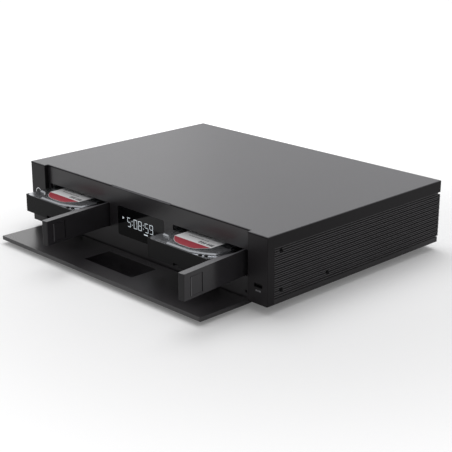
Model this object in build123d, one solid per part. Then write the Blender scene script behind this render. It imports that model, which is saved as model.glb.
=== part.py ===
from build123d import *
import math
import os

# A full-width media player in millimetres. X runs to the right along the front,
# Y runs back from the front, Z is up. While the pieces are made, Y = 0 is the front
# face of the two columns and Z = 0 is the underside of the case; place() then moves
# them so that the origin is under the middle of the whole object, at the floor.

# ---- driving dimensions: the case ----
WIDTH = 430.0
DEPTH = 309.8
HEIGHT = 79.6
FOOT_HEIGHT = 10.0
SHEET = 1.6
COVER_SHEET = 2.0
COLUMN_WIDTH = 30.0
COLUMN_DEPTH = 10.7
COLUMN_WALL = 3.0
RECESS = 5.4
PLATE_THICK = 2.5
PLATE_LIP = 3.0
PAN_LIP = 6.5
SKIRT_HEIGHT = 15.0

# ---- driving dimensions: the ribbed sides ----
RIB_PITCH = 2.535
RIB_COUNT = 22
RIB_LOWEST = 8.1
RIB_HALF_ROOT = 1.2
RIB_HALF_TIP = 0.35
RIB_ROOT_DEPTH = 2.3
RIB_TIP_DEPTHS = (0.0, 0.7)
RIB_SHORTER = 2.5
RIB_END_THICK = 1.6
RIB_END_INSET = 0.3
SIDE_WALL = 6.2
SIDE_SCREWS = ((21.5, 59.4), (22.0, 14.4), (98.5, 14.4))
SIDE_SCREW_BORE = 2.9
SIDE_SCREW_HOLE = 1.6
SIDE_SCREW_SEAT = 4.5

# ---- driving dimensions: the drive bays (the right one; the left is BAY_SHIFT away) ----
BAY_SHIFT = -238.4
BAY_LEFT = 58.2
BAY_WIDTH = 122.0
BAY_LOW = 25.0
BAY_HIGH = 55.5
CAGE_SHEET = 1.2
CAGE_RIGHT = 183.4
CAGE_BACK = 172.0
DOOR_PIVOT = (167.2, 14.1)
DOOR_OPEN = 95.5
DOOR_LENGTH = 108.7
DOOR_THICK = 8.6
DOOR_THIN = 2.6
DOOR_GAP = 0.3
DOOR_ROUND = 1.2
KNUCKLE_RADIUS = 3.0
PIN_RADIUS = 1.2
RUNNING_GAP = 0.06

# ---- driving dimensions: a 3.5 inch hard drive ----
DRIVE_WIDTH = 101.6
DRIVE_LENGTH = 147.0
DRIVE_HEIGHT = 26.1
DRIVE_LEFT = 60.2
DRIVE_LOW = 26.0
DRIVE_SEATED_FRONT = 15.4
DRIVE_PULLED = 50.4
DRIVE_BOARD = 1.2
DRIVE_CAST_TOP = 23.0
DRIVE_RIM_TOP = 23.9

# ---- driving dimensions: the front flap ----
FLAP_HALF_WIDTH = 184.5
FLAP_THICK = 5.0
FLAP_FRONT = -70.3
FLAP_REAR = 3.4
FLAP_PIVOT = (7.25, 1.85)
FLAP_KNUCKLE = 2.6
FLAP_HINGE_X = 126.0
FLAP_WINDOW = (44.0, -47.0, -9.0)
WINDOW_REBATE = 2.0

# ---- driving dimensions: the display ----
DISPLAY_HALF = 42.8
DISPLAY_LOW = 19.5
DISPLAY_HIGH = 56.4
DISPLAY_CORNER = 3.0
SEGMENT_DEEP = 0.3

# ---- driving dimensions: the rear ----
REAR_FACE = DEPTH
BOARD_LOW = 8.0
BOARD_THICK = 1.6
REAR_REACH = 7.0
REAR_HALF = 206.4

# ---- worked-out values ----
HALF = WIDTH / 2
COVER_LOW = HEIGHT - COVER_SHEET
COLUMN_IN = HALF - COLUMN_WIDTH
PLATE_BACK = RECESS + PLATE_THICK
RIB_ROOT = HALF - RIB_ROOT_DEPTH
WALL_IN = RIB_ROOT - SIDE_WALL
SCREW_SEAT = HALF - SIDE_SCREW_SEAT
REAR_INNER = REAR_FACE - SHEET
BAY_RIGHT = BAY_LEFT + BAY_WIDTH
CAGE_LEFT = BAY_LEFT - CAGE_SHEET
DRIVE_FRONT = DRIVE_SEATED_FRONT - DRIVE_PULLED
DOOR_OFFSET = DOOR_PIVOT[1] - RECESS
BOARD_TOP = BOARD_LOW + BOARD_THICK
DOOR_TIP_ACROSS = (DOOR_LENGTH - DOOR_ROUND) * math.sin(math.radians(DOOR_OPEN))
DOOR_TIP_ALONG = (DOOR_OFFSET - DOOR_THICK + DOOR_ROUND) * math.cos(math.radians(DOOR_OPEN))
DOOR_TIP_Y = DOOR_PIVOT[1] - DOOR_TIP_ACROSS - DOOR_TIP_ALONG - DOOR_ROUND
SHIFT_Y = (DOOR_TIP_Y + REAR_FACE + REAR_REACH) / 2


# ---- helpers (a cut runs 1 mm past each face that it opens) ----
def block(x0, x1, y0, y1, z0, z1):
    """A box between two corners."""
    middle = Pos((x0 + x1) / 2, (y0 + y1) / 2, (z0 + z1) / 2)
    return middle * Box(x1 - x0, y1 - y0, z1 - z0)


def rod_x(radius, x0, x1, y, z):
    """A cylinder along X."""
    return Pos((x0 + x1) / 2, y, z) * Rot(0, 90, 0) * Cylinder(radius, x1 - x0)


def rod_y(radius, x, y0, y1, z):
    """A cylinder along Y."""
    return Pos(x, (y0 + y1) / 2, z) * Rot(90, 0, 0) * Cylinder(radius, y1 - y0)


def rod_z(radius, x, y, z0, z1):
    """A cylinder along Z."""
    return Pos(x, y, (z0 + z1) / 2) * Cylinder(radius, z1 - z0)


def prism(points, z0, z1):
    """An upright prism on an outline given in X and Y."""
    outline = Pos(0, 0, z0) * Polygon(*points, align=None)
    return extrude(outline, amount=z1 - z0, dir=(0, 0, 1))


def front_prism(points, y0, y1):
    """A prism along Y on an outline given in X and Z."""
    outline = Plane.XZ.offset(-y0) * Polygon(*points, align=None)
    return extrude(outline, amount=y1 - y0, dir=(0, 1, 0))


def side_prism(points, x0, x1):
    """A prism along X on an outline given in Y and Z."""
    outline = Plane.YZ.offset(x0) * Polygon(*points, align=None)
    return extrude(outline, amount=x1 - x0, dir=(1, 0, 0))


def rounded_window(half_width, z0, z1, corner, y0, y1):
    """A plate across Y with rounded corners, centred on X = 0."""
    shape = RectangleRounded(2 * half_width, z1 - z0, corner)
    outline = Plane((0, y0, (z0 + z1) / 2), x_dir=(1, 0, 0), z_dir=(0, -1, 0)) * shape
    return extrude(outline, amount=y1 - y0, dir=(0, 1, 0))


def mirrored(shape):
    """The same piece on the other side of the case."""
    return mirror(shape, Plane.YZ)


def on_bay(shape, side):
    """A piece of the right bay, or its like in the left bay."""
    return shape if side == "right" else Pos(BAY_SHIFT, 0, 0) * shape


def both_bays(shape):
    """The same piece in both bays."""
    return on_bay(shape, "right") + on_bay(shape, "left")


def swung(shape):
    """A door piece turned about its pin from closed to the open rest place."""
    x, y = DOOR_PIVOT
    return Pos(x, y, 0) * Rot(0, 0, DOOR_OPEN) * Pos(-x, -y, 0) * shape


# ---- the case ----
POST_THICK = 5.0
POSTS = ((16.0, 28.0, 66.0), (92.0, 105.0, 20.0))
SCREW_SHANK = 1.45
VENT_LENGTH = 46.0
VENT_WIDTH = 3.0
VENT_STEP = 8.0
VENT_COUNT = 9
VENT_X = 119.0
VENT_Y = 90.0
FLANGE_HIGH = 14.0
HINGE_NOTCH_HALF = 9.8
HINGE_NOTCH_HIGH = 6.6
HINGE_NOTCH_BACK = 12.0
FOOT_X = 168.0
FOOT_YS = (46.0, 268.0)
FOOT_SPOTS = [(side * FOOT_X, y) for side in (-1, 1) for y in FOOT_YS]
FOOT_BOLT = 2.0
STANDOFF_RADIUS = 3.0
STANDOFF_BORE_LOW = 2.0
MAIN_BOARD = (-62.0, 196.0, 190.0, 304.0)
POWER_BOARD = (-200.0, -84.0, 190.0, 304.0)


def board_corners(board, inset):
    """The four fixing points of a circuit board."""
    x0, x1, y0, y1 = board
    return [(x, y) for x in (x0 + inset, x1 - inset) for y in (y0 + inset, y1 - inset)]


BOARD_INSET = 5.0
BOARD_SPOTS = board_corners(MAIN_BOARD, BOARD_INSET) + board_corners(POWER_BOARD, BOARD_INSET)


def hinge_notches(low):
    """The clearance cut at each flap hinge."""
    cut = None
    for x in (-FLAP_HINGE_X, FLAP_HINGE_X):
        one = block(x - HINGE_NOTCH_HALF, x + HINGE_NOTCH_HALF, 0, HINGE_NOTCH_BACK,
                    low, HINGE_NOTCH_HIGH)
        cut = one if cut is None else cut + one
    return cut


def base_pan():
    pan = block(-HALF, HALF, COLUMN_DEPTH, REAR_INNER, 0, SHEET)
    pan += block(-COLUMN_IN, COLUMN_IN, PLATE_BACK, COLUMN_DEPTH, 0, SHEET)
    pan += block(-COLUMN_IN, COLUMN_IN, PLATE_BACK, PLATE_BACK + SHEET, SHEET, FLANGE_HIGH)
    for side in (-1, 1):
        outer = side * HALF
        inner = side * (HALF - SHEET)
        low, high = min(outer, inner), max(outer, inner)
        pan += block(low, high, COLUMN_DEPTH, REAR_INNER, 0, PAN_LIP)
        x0, x1 = sorted((side * WALL_IN, side * (WALL_IN - POST_THICK)))
        for y0, y1, tall in POSTS:
            pan += block(x0, x1, y0, y1, 0, tall)
        for y, z in SIDE_SCREWS:
            pan -= rod_x(SCREW_SHANK, x0 - 1, x1 + 1, y, z)
    pan -= hinge_notches(-1)
    for x, y in BOARD_SPOTS:
        pan += rod_z(STANDOFF_RADIUS, x, y, 0, BOARD_LOW)
        pan -= rod_z(SCREW_SHANK, x, y, STANDOFF_BORE_LOW, BOARD_LOW + 1)
    for x, y in FOOT_SPOTS:
        pan -= rod_z(FOOT_BOLT, x, y, -1, SHEET + 1)
    for side in (-1, 1):
        for i in range(VENT_COUNT):
            x = side * VENT_X + (i - (VENT_COUNT - 1) / 2) * VENT_STEP
            pan -= block(x - VENT_WIDTH / 2, x + VENT_WIDTH / 2,
                         VENT_Y, VENT_Y + VENT_LENGTH, -1, SHEET + 1)
    return pan


COVER_BEVEL = 0.6
GRIP_HALF = 54.0
GRIP_DEEP = 1.8
GRIP_DROP = 1.5
REAR_SCREWS = (-190.0, -95.0, 0.0, 95.0, 190.0)
REAR_SCREW_Z = 72.0
REAR_FLANGE_HALF = 200.0
REAR_FLANGE_LOW = 68.0


def top_cover():
    """The top, with a slope in the middle of its front edge where a finger opens the flap."""
    cover = block(-HALF, HALF, 0, REAR_FACE, COVER_LOW, HEIGHT)
    cover -= block(-COLUMN_IN, COLUMN_IN, -1, RECESS, COVER_LOW - 1, HEIGHT + 1)
    top_edges = cover.faces().sort_by(Axis.Z)[-1].edges()
    cover = chamfer(top_edges, COVER_BEVEL)
    slope = ((RECESS - 1, HEIGHT + 1), (RECESS - 1, HEIGHT - GRIP_DROP),
             (RECESS, HEIGHT - GRIP_DROP), (RECESS + GRIP_DEEP, HEIGHT),
             (RECESS + GRIP_DEEP, HEIGHT + 1))
    cover -= side_prism(slope, -GRIP_HALF, GRIP_HALF)
    skirt_low = HEIGHT - SKIRT_HEIGHT
    cover += block(HALF - SHEET, HALF, COLUMN_DEPTH, REAR_FACE, skirt_low, COVER_LOW)
    cover += block(-HALF, -HALF + SHEET, COLUMN_DEPTH, REAR_FACE, skirt_low, COVER_LOW)
    cover += block(-REAR_FLANGE_HALF, REAR_FLANGE_HALF, REAR_INNER - SHEET, REAR_INNER,
                   REAR_FLANGE_LOW, COVER_LOW)
    for x in REAR_SCREWS:
        cover -= rod_y(SCREW_SHANK, x, REAR_INNER - SHEET - 1, REAR_INNER + 1, REAR_SCREW_Z)
    return cover


def side_panel():
    """The ribs are small ridges along Y, every other one lower, with an upright at their rear."""
    panel = block(WALL_IN, RIB_ROOT, COLUMN_DEPTH, REAR_INNER, SHEET, COVER_LOW)
    for i in range(RIB_COUNT):
        z = RIB_LOWEST + i * RIB_PITCH
        tip = HALF - RIB_TIP_DEPTHS[i % 2]
        ridge = ((WALL_IN + 1, z - RIB_HALF_ROOT), (RIB_ROOT, z - RIB_HALF_ROOT),
                 (tip, z - RIB_HALF_TIP), (tip, z + RIB_HALF_TIP),
                 (RIB_ROOT, z + RIB_HALF_ROOT), (WALL_IN + 1, z + RIB_HALF_ROOT))
        panel += front_prism(ridge, COLUMN_DEPTH, REAR_FACE - RIB_SHORTER * (i % 2))
    low, high = RIB_LOWEST - RIB_HALF_TIP, RIB_LOWEST + (RIB_COUNT - 1) * RIB_PITCH + RIB_HALF_TIP
    panel += block(WALL_IN + 1, HALF - RIB_END_INSET, REAR_FACE - RIB_END_THICK, REAR_FACE, low, high)
    for y, z in SIDE_SCREWS:
        panel -= rod_x(SIDE_SCREW_BORE, SCREW_SEAT, HALF + 1, y, z)
        panel -= rod_x(SIDE_SCREW_HOLE, WALL_IN - 1, SCREW_SEAT + 1, y, z)
    return panel


# ---- the front ----
BUTTON_SPOT = (-201.0, 40.5)
BUTTON_RADIUS = 4.5
RING_OUTER = 5.6
RING_INNER = 4.7
RING_FLANGE = 7.0
BUTTON_TRAVEL = 0.8
USB_SPOT = (201.4, 21.5)
USB_HALF = (6.3, 2.5)
USB_DEPTH = 10.5
PINHOLE = (178.0, 6.9)
PINHOLE_RADIUS = 1.6
BOSS_RADIUS = 2.5
BUTTON_BOARD_Y = 8.6
BUTTON_BOSSES = (28.0, 53.0)
COLUMN_EDGE = 0.5


def front_column():
    """The right column, with no opening in its face."""
    column = block(COLUMN_IN, HALF, 0, COLUMN_DEPTH, 0, COVER_LOW)
    upright = column.edges().filter_by(Axis.Z).group_by(Axis.Y)[0]
    column = chamfer(upright, COLUMN_EDGE)
    x0, x1 = COLUMN_IN + COLUMN_WALL, HALF - COLUMN_WALL
    column -= block(x0, x1, COLUMN_WALL, COLUMN_DEPTH + 1, COLUMN_WALL, COVER_LOW - COLUMN_WALL)
    return column


def front_column_right():
    x, z = USB_SPOT
    dx, dz = USB_HALF
    return front_column() - block(x - dx, x + dx, -1, COLUMN_WALL + 1, z - dz, z + dz)


def front_column_left():
    column = mirrored(front_column())
    x, z = BUTTON_SPOT
    column -= rod_y(RING_OUTER, x, -1, COLUMN_WALL + 1, z)
    for boss_z in BUTTON_BOSSES:
        column += rod_y(BOSS_RADIUS, x, COLUMN_WALL, BUTTON_BOARD_Y, boss_z)
    return column


def front_plate():
    plate = block(-COLUMN_IN, COLUMN_IN, RECESS, PLATE_BACK, -PLATE_LIP, COVER_LOW)
    chamfered = ((BAY_LEFT, RECESS - 1), (BAY_RIGHT, RECESS - 1), (BAY_RIGHT, RECESS),
                 (BAY_RIGHT + PLATE_THICK + 1, PLATE_BACK + 1), (BAY_LEFT, PLATE_BACK + 1))
    plate -= both_bays(prism(chamfered, BAY_LOW, BAY_HIGH))
    plate -= rounded_window(DISPLAY_HALF, DISPLAY_LOW, DISPLAY_HIGH, DISPLAY_CORNER,
                            RECESS - 1, PLATE_BACK + 1)
    plate -= hinge_notches(-PLATE_LIP - 1)
    x, z = PINHOLE
    return plate - rod_y(PINHOLE_RADIUS, x, RECESS - 1, PLATE_BACK + 1, z)


# ---- the display ----
LENS_FLANGE = 1.5
LENS_MARGIN = 1.7
LENS_GAP = 0.1
DIGIT_WIDTH = 6.2
DIGIT_HEIGHT = 11.6
DIGIT_STROKE = 0.7
DIGIT_LOW = 33.4
DIGIT_LEFTS = (-24.8, -12.8, -4.4, 7.8, 16.2)
DIGITS = "50859"
COLON_XS = (-15.8, 4.8)
COLON_HALF = 0.5
COLON_PARTS = (0.3, 0.7)
SEGMENT_GAP = 0.25
SEGMENTS = {"0": "abcdef", "5": "afgcd", "8": "abcdefg", "9": "abfgcd"}
PLAY_MARK = ((-33.8, 40.9), (-30.8, 42.6), (-33.8, 44.3))
DASH_MARK = (5.8, 13.0, 29.6, 30.9)


def digit_bars(left, low, names):
    """The lit bars of one seven-bar digit, as (x0, x1, z0, z1)."""
    right = left + DIGIT_WIDTH
    high = low + DIGIT_HEIGHT
    middle = (low + high) / 2
    half = DIGIT_STROKE / 2
    ends = (left + DIGIT_STROKE + SEGMENT_GAP, right - DIGIT_STROKE - SEGMENT_GAP)
    upper = (middle + SEGMENT_GAP, high)
    lower = (low, middle - SEGMENT_GAP)
    bars = {
        "a": (*ends, high - DIGIT_STROKE, high),
        "g": (*ends, middle - half, middle + half),
        "d": (*ends, low, low + DIGIT_STROKE),
        "f": (left, left + DIGIT_STROKE, *upper),
        "b": (right - DIGIT_STROKE, right, *upper),
        "e": (left, left + DIGIT_STROKE, *lower),
        "c": (right - DIGIT_STROKE, right, *lower),
    }
    return [bars[name] for name in names]


def display_digits():
    bars = [DASH_MARK]
    for left, digit in zip(DIGIT_LEFTS, DIGITS):
        bars += digit_bars(left, DIGIT_LOW, SEGMENTS[digit])
    for x in COLON_XS:
        for part in COLON_PARTS:
            z = DIGIT_LOW + part * DIGIT_HEIGHT
            bars.append((x - COLON_HALF, x + COLON_HALF, z - COLON_HALF, z + COLON_HALF))
    solids = [block(x0, x1, RECESS, RECESS + SEGMENT_DEEP, z0, z1) for x0, x1, z0, z1 in bars]
    solids.append(front_prism(PLAY_MARK, RECESS, RECESS + SEGMENT_DEEP))
    return Compound(children=solids)


def display_lens():
    flange = (DISPLAY_HALF + LENS_MARGIN, DISPLAY_LOW - LENS_MARGIN, DISPLAY_HIGH + LENS_MARGIN)
    lens = rounded_window(DISPLAY_HALF - LENS_GAP, DISPLAY_LOW + LENS_GAP,
                          DISPLAY_HIGH - LENS_GAP, DISPLAY_CORNER, RECESS, PLATE_BACK)
    lens += rounded_window(flange[0], flange[1], flange[2], DISPLAY_CORNER,
                           PLATE_BACK, PLATE_BACK + LENS_FLANGE)
    for solid in display_digits().solids():
        lens -= solid
    return lens


TUBE_HALF = 40.0
TUBE_LOW = 21.0
TUBE_HIGH = 55.0
TUBE_THICK = 5.0
TUBE_ROUND = 1.5
TUBE_Y = PLATE_BACK + LENS_FLANGE
DISPLAY_BOARD_Y = TUBE_Y + TUBE_THICK
DISPLAY_BOARD_BACK = DISPLAY_BOARD_Y + BOARD_THICK
DISPLAY_BOARD_HALF = 46.0
DISPLAY_BOARD_LOW = 15.0
DISPLAY_BOARD_HIGH = 61.0
DISPLAY_HOLE = 1.2
DISPLAY_HOLE_X = 42.0
DISPLAY_HOLE_ZS = (18.0, 58.0)
DISPLAY_CHIP = (-8.0, 8.0, 30.0, 42.0, 2.0)
DISPLAY_PLUG = (20.0, 38.0, 20.0, 26.0, 5.0)


def display_tube():
    tube = block(-TUBE_HALF, TUBE_HALF, TUBE_Y, DISPLAY_BOARD_Y, TUBE_LOW, TUBE_HIGH)
    return fillet(tube.edges().filter_by(Axis.Y), TUBE_ROUND)


def display_board():
    board = block(-DISPLAY_BOARD_HALF, DISPLAY_BOARD_HALF, DISPLAY_BOARD_Y, DISPLAY_BOARD_BACK,
                  DISPLAY_BOARD_LOW, DISPLAY_BOARD_HIGH)
    for x in (-DISPLAY_HOLE_X, DISPLAY_HOLE_X):
        for z in DISPLAY_HOLE_ZS:
            board -= rod_y(DISPLAY_HOLE, x, DISPLAY_BOARD_Y - 1, DISPLAY_BOARD_BACK + 1, z)
    for x0, x1, z0, z1, thick in (DISPLAY_CHIP, DISPLAY_PLUG):
        board += block(x0, x1, DISPLAY_BOARD_BACK, DISPLAY_BOARD_BACK + thick, z0, z1)
    return board


# ---- the power button and the front USB socket ----
BUTTON_PROUD = 0.4
BUTTON_BACK = 6.0
BUTTON_CHAMFER = 0.3
BUTTON_RIM = 0.9
RIM_GAP = 0.1
RING_PROUD = 0.1
RING_FLANGE_BACK = COLUMN_WALL + 1.5
BUTTON_BOARD_HALF = (9.0, 15.5)
SWITCH_HALF = 3.0
SWITCH_THICK = 1.2
PLUNGER_RADIUS = 1.6
PLUNGER_GAP = 0.1


def button_ring():
    x, z = BUTTON_SPOT
    ring = rod_y(RING_OUTER, x, -RING_PROUD, COLUMN_WALL, z)
    ring += rod_y(RING_FLANGE, x, COLUMN_WALL, RING_FLANGE_BACK, z)
    return ring - rod_y(RING_INNER, x, -1, RING_FLANGE_BACK + 1, z)


def power_button():
    x, z = BUTTON_SPOT
    button = rod_y(BUTTON_RADIUS, x, -BUTTON_PROUD, BUTTON_BACK, z)
    button = chamfer(button.faces().sort_by(Axis.Y)[0].edges(), BUTTON_CHAMFER)
    rim_front = RING_FLANGE_BACK + RIM_GAP
    return button + rod_y(BUTTON_RADIUS + BUTTON_RIM, x, rim_front, BUTTON_BACK, z)


def button_board():
    x, z = BUTTON_SPOT
    dx, dz = BUTTON_BOARD_HALF
    front = BUTTON_BOARD_Y
    board = block(x - dx, x + dx, front, front + BOARD_THICK, z - dz, z + dz)
    board += block(x - SWITCH_HALF, x + SWITCH_HALF, front - SWITCH_THICK, front,
                   z - SWITCH_HALF, z + SWITCH_HALF)
    plunger_front = BUTTON_BACK + BUTTON_TRAVEL + PLUNGER_GAP
    return board + rod_y(PLUNGER_RADIUS, x, plunger_front, front, z)


USB_WALL = 0.5
USB_SET_BACK = 0.2
LUG_REACH = 2.0
LUG_HIGH = 4.0
LUG_THICK = 1.0
TONGUE_HALF = 5.4
TONGUE_FRONT = 1.6
TONGUE_RISE = 0.1
TONGUE_THICK = 1.6


def usb_front_shell():
    x, z = USB_SPOT
    dx, dz = USB_HALF
    shell = block(x - dx, x + dx, USB_SET_BACK, USB_DEPTH, z - dz, z + dz)
    shell -= block(x - dx + USB_WALL, x + dx - USB_WALL, -1, USB_DEPTH - 1,
                   z - dz + USB_WALL, z + dz - USB_WALL)
    lug = block(x - dx - LUG_REACH, x + dx + LUG_REACH, COLUMN_WALL, COLUMN_WALL + LUG_THICK,
                z + dz, z + dz + LUG_HIGH)
    return shell + lug


def usb_front_tongue():
    x, z = USB_SPOT
    low = z + TONGUE_RISE
    return block(x - TONGUE_HALF, x + TONGUE_HALF, TONGUE_FRONT, USB_DEPTH - 1,
                 low, low + TONGUE_THICK)


# ---- the flap ----
ARM_HALF = 6.0
ARM_FRONT = 3.0
ARM_LOW = -3.2
EAR_THICK = 3.0
EAR_GAP = 0.3
EAR_LOW = 0.2
BRACKET_FRONT = 5.7
BRACKET_BACK = 22.0
BRACKET_HIGH = 4.4
FLAP_CHAMFER = 0.5
PANE_SEAT = -FLAP_THICK + 1.8
PANE_TOP = -0.15
PANE_LOW = -FLAP_THICK + 0.3


def flap():
    panel = block(-FLAP_HALF_WIDTH, FLAP_HALF_WIDTH, FLAP_FRONT, FLAP_REAR, -FLAP_THICK, 0)
    panel = chamfer(panel.edges().group_by(Axis.Y)[0], FLAP_CHAMFER)
    half, y0, y1 = FLAP_WINDOW
    panel -= block(-half, half, y0, y1, PANE_SEAT, 1)
    rebate = WINDOW_REBATE
    panel -= block(-half + rebate, half - rebate, y0 + rebate, y1 - rebate, -FLAP_THICK - 1, 1)
    y, z = FLAP_PIVOT
    for x in (-FLAP_HINGE_X, FLAP_HINGE_X):
        arm = block(x - ARM_HALF, x + ARM_HALF, ARM_FRONT, y, ARM_LOW, z)
        arm += rod_x(FLAP_KNUCKLE, x - ARM_HALF, x + ARM_HALF, y, z)
        panel += arm
        panel -= rod_x(PIN_RADIUS + RUNNING_GAP, x - ARM_HALF - 1, x + ARM_HALF + 1, y, z)
    return panel


def flap_window():
    half, y0, y1 = FLAP_WINDOW
    pane = block(-half, half, y0, y1, PANE_SEAT, PANE_TOP)
    rebate = WINDOW_REBATE
    pane += block(-half + rebate, half - rebate, y0 + rebate, y1 - rebate, PANE_LOW, PANE_SEAT)
    return pane


def flap_hinge_pins():
    y, z = FLAP_PIVOT
    reach = ARM_HALF + EAR_GAP + EAR_THICK
    pins = [rod_x(PIN_RADIUS, x - reach, x + reach, y, z) for x in (-FLAP_HINGE_X, FLAP_HINGE_X)]
    return Compound(children=pins)


def flap_hinge_brackets():
    y, z = FLAP_PIVOT
    brackets = []
    for x in (-FLAP_HINGE_X, FLAP_HINGE_X):
        reach = ARM_HALF + EAR_GAP + EAR_THICK
        bracket = block(x - reach, x + reach, HINGE_NOTCH_BACK, BRACKET_BACK, SHEET, BRACKET_HIGH)
        for side in (-1, 1):
            x0, x1 = sorted((x + side * (ARM_HALF + EAR_GAP), x + side * reach))
            bracket += block(x0, x1, BRACKET_FRONT, HINGE_NOTCH_BACK, EAR_LOW, BRACKET_HIGH)
        bracket -= rod_x(PIN_RADIUS, x - reach - 1, x + reach + 1, y, z)
        brackets.append(bracket)
    return Compound(children=brackets)


# ---- a drive bay ----
LEG_FRONT = 24.0
LEG_FLANGE = 9.0
SLOT_COUNT = 5
SLOT_STEP = 20.0
SLOT_WIDE = 5.0
SLOT_FRONT = 60.0
SLOT_BACK = 120.0
GUIDE_LEDGE = 0.9
GUIDE_WIDE = 6.0
GUIDE_PLAY = 0.2
GUIDE_BACK = 160.0
LEFT_GUIDE_FRONT = 12.0
RIGHT_GUIDE_FRONT = 42.0
RIGHT_GUIDE_THICK = 4.0


def drive_cage():
    low = BAY_LOW - CAGE_SHEET
    high = BAY_HIGH + CAGE_SHEET
    right = CAGE_RIGHT + CAGE_SHEET
    front = PLATE_BACK
    cage = block(CAGE_LEFT, right, front, CAGE_BACK, low, BAY_LOW)
    cage += block(CAGE_LEFT, right, front, CAGE_BACK, BAY_HIGH, high)
    for x0 in (CAGE_LEFT, CAGE_RIGHT):
        cage += block(x0, x0 + CAGE_SHEET, front, CAGE_BACK, low, high)
        cage += block(x0, x0 + CAGE_SHEET, LEG_FRONT, CAGE_BACK, SHEET, low)
    for x0 in (CAGE_LEFT, right - LEG_FLANGE):
        cage += block(x0, x0 + LEG_FLANGE, LEG_FRONT, CAGE_BACK, SHEET, SHEET + CAGE_SHEET)
    x, y = DOOR_PIVOT
    cage -= rod_z(PIN_RADIUS, x, y, low - 1, high + 1)
    for i in range(SLOT_COUNT):
        x0 = BAY_LEFT + (i + 1) * SLOT_STEP
        for z0, z1 in ((BAY_HIGH - 1, high + 1), (low - 1, BAY_LOW + 1)):
            cage -= block(x0, x0 + SLOT_WIDE, SLOT_FRONT, SLOT_BACK, z0, z1)
    return cage


def drive_guides():
    left_x = DRIVE_LEFT - GUIDE_PLAY
    right_x = DRIVE_LEFT + DRIVE_WIDTH + GUIDE_PLAY
    high = DRIVE_LOW + DRIVE_HEIGHT
    ledge = BAY_LOW + GUIDE_LEDGE
    left = block(BAY_LEFT, left_x, LEFT_GUIDE_FRONT, GUIDE_BACK, BAY_LOW, high)
    left += block(left_x, left_x + GUIDE_WIDE, LEFT_GUIDE_FRONT, GUIDE_BACK, BAY_LOW, ledge)
    right = block(right_x, right_x + RIGHT_GUIDE_THICK, RIGHT_GUIDE_FRONT, GUIDE_BACK,
                  BAY_LOW, high)
    right += block(right_x - GUIDE_WIDE, right_x, RIGHT_GUIDE_FRONT, GUIDE_BACK, BAY_LOW, ledge)
    return both_bays(left) + both_bays(right)


DOOR_TAIL = 12.6
DOOR_SWELL = ((24.0, DOOR_THIN), (37.0, 6.2), (50.0, DOOR_THICK))
KNUCKLE_WEB = 2.2


def door_outline():
    """The door's plan when closed: flat outside, thick at the free end."""
    x = DOOR_PIVOT[0]
    tail = x + DOOR_TAIL
    free = x - DOOR_LENGTH
    inside = [(x - along, RECESS + deep) for along, deep in DOOR_SWELL]
    return ((free, RECESS), (tail, RECESS), (tail, RECESS + DOOR_THIN), *inside,
            (free, RECESS + DOOR_THICK))


LATCH_NEAR = 81.4
LATCH_FAR = 98.8
LATCH_LOW = 28.3
LATCH_HIGH = 49.7
LATCH_THICK = 2.0
LATCH_PIN_S = 83.0
LATCH_PIN_DEEP = 2.6
LATCH_PIN_RADIUS = 0.8
LATCH_BARREL = 1.7
LATCH_PIN_REACH = 2.0
LATCH_LIP = 1.2
LATCH_LIP_PROUD = 0.5
POCKET_GAP = 0.3
POCKET_HEEL = 1.2
POCKET_DEEP = 5.4
POCKET_FINGER = 0.6


def closed_latch_pin():
    """The latch's pin while the door is shut."""
    x = DOOR_PIVOT[0] - LATCH_PIN_S
    return rod_z(LATCH_PIN_RADIUS, x, RECESS + LATCH_PIN_DEEP,
                 LATCH_LOW - LATCH_PIN_REACH, LATCH_HIGH + LATCH_PIN_REACH)


def bay_door():
    low = BAY_LOW + DOOR_GAP
    high = BAY_HIGH - DOOR_GAP
    door = prism(door_outline(), low, high)
    free_end = door.edges().filter_by(Axis.Z).group_by(Axis.X)[0]
    door = fillet(free_end, DOOR_ROUND)
    x, y = DOOR_PIVOT
    door += rod_z(KNUCKLE_RADIUS, x, y, low, high)
    door += block(x - KNUCKLE_WEB, x + KNUCKLE_WEB, RECESS + DOOR_THIN, y, low, high)
    door -= rod_z(PIN_RADIUS + RUNNING_GAP, x, y, low - 1, high + 1)
    pocket = block(x - LATCH_FAR - POCKET_FINGER, x - LATCH_NEAR + POCKET_HEEL, RECESS - 1,
                   RECESS + POCKET_DEEP, LATCH_LOW - POCKET_GAP, LATCH_HIGH + POCKET_GAP)
    door -= pocket
    return swung(door - closed_latch_pin())


def door_latch():
    x = DOOR_PIVOT[0]
    near, far = x - LATCH_NEAR, x - LATCH_FAR
    back = RECESS + LATCH_THICK
    lever = block(far, near, RECESS, back, LATCH_LOW, LATCH_HIGH)
    lever += block(far, far + LATCH_LIP, RECESS - LATCH_LIP_PROUD, back, LATCH_LOW, LATCH_HIGH)
    pin_x = x - LATCH_PIN_S
    pin_y = RECESS + LATCH_PIN_DEEP
    lever += rod_z(LATCH_BARREL, pin_x, pin_y, LATCH_LOW, LATCH_HIGH)
    lever -= rod_z(LATCH_PIN_RADIUS + RUNNING_GAP, pin_x, pin_y, LATCH_LOW - 1, LATCH_HIGH + 1)
    return swung(lever)


def latch_pin():
    return swung(closed_latch_pin())


def door_pins():
    x, y = DOOR_PIVOT
    return both_bays(rod_z(PIN_RADIUS, x, y, BAY_LOW - CAGE_SHEET, BAY_HIGH + CAGE_SHEET))


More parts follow.
